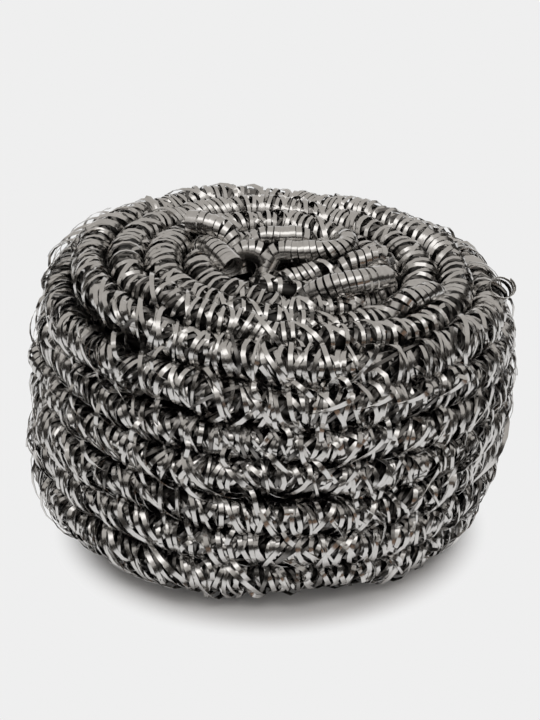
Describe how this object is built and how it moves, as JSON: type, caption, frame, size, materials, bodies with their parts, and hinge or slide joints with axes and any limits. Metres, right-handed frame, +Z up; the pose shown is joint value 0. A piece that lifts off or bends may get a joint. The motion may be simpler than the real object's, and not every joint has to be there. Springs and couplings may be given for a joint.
{
  "type": "metal scourer",
  "caption": "Low round pad of springy curled steel ribbon, one long strand wound in packed turns with loose loops on top, for scouring pans.",
  "frame": {"origin": "middle of the bounding box's underside, on the surface that the scourer rests on", "axes": "+Z up, out of the top with the loose loops; the side in the picture faces -Y, and +X is to its right"},
  "size_m": [0.0792, 0.0772, 0.0461],
  "materials": {
    "steel": "bright rolled stainless ribbon, semi-gloss, with fine lines along it"
  },
  "bodies": {
    "root": {"coiled_strand": "steel"}
  },
  "joints": []
}
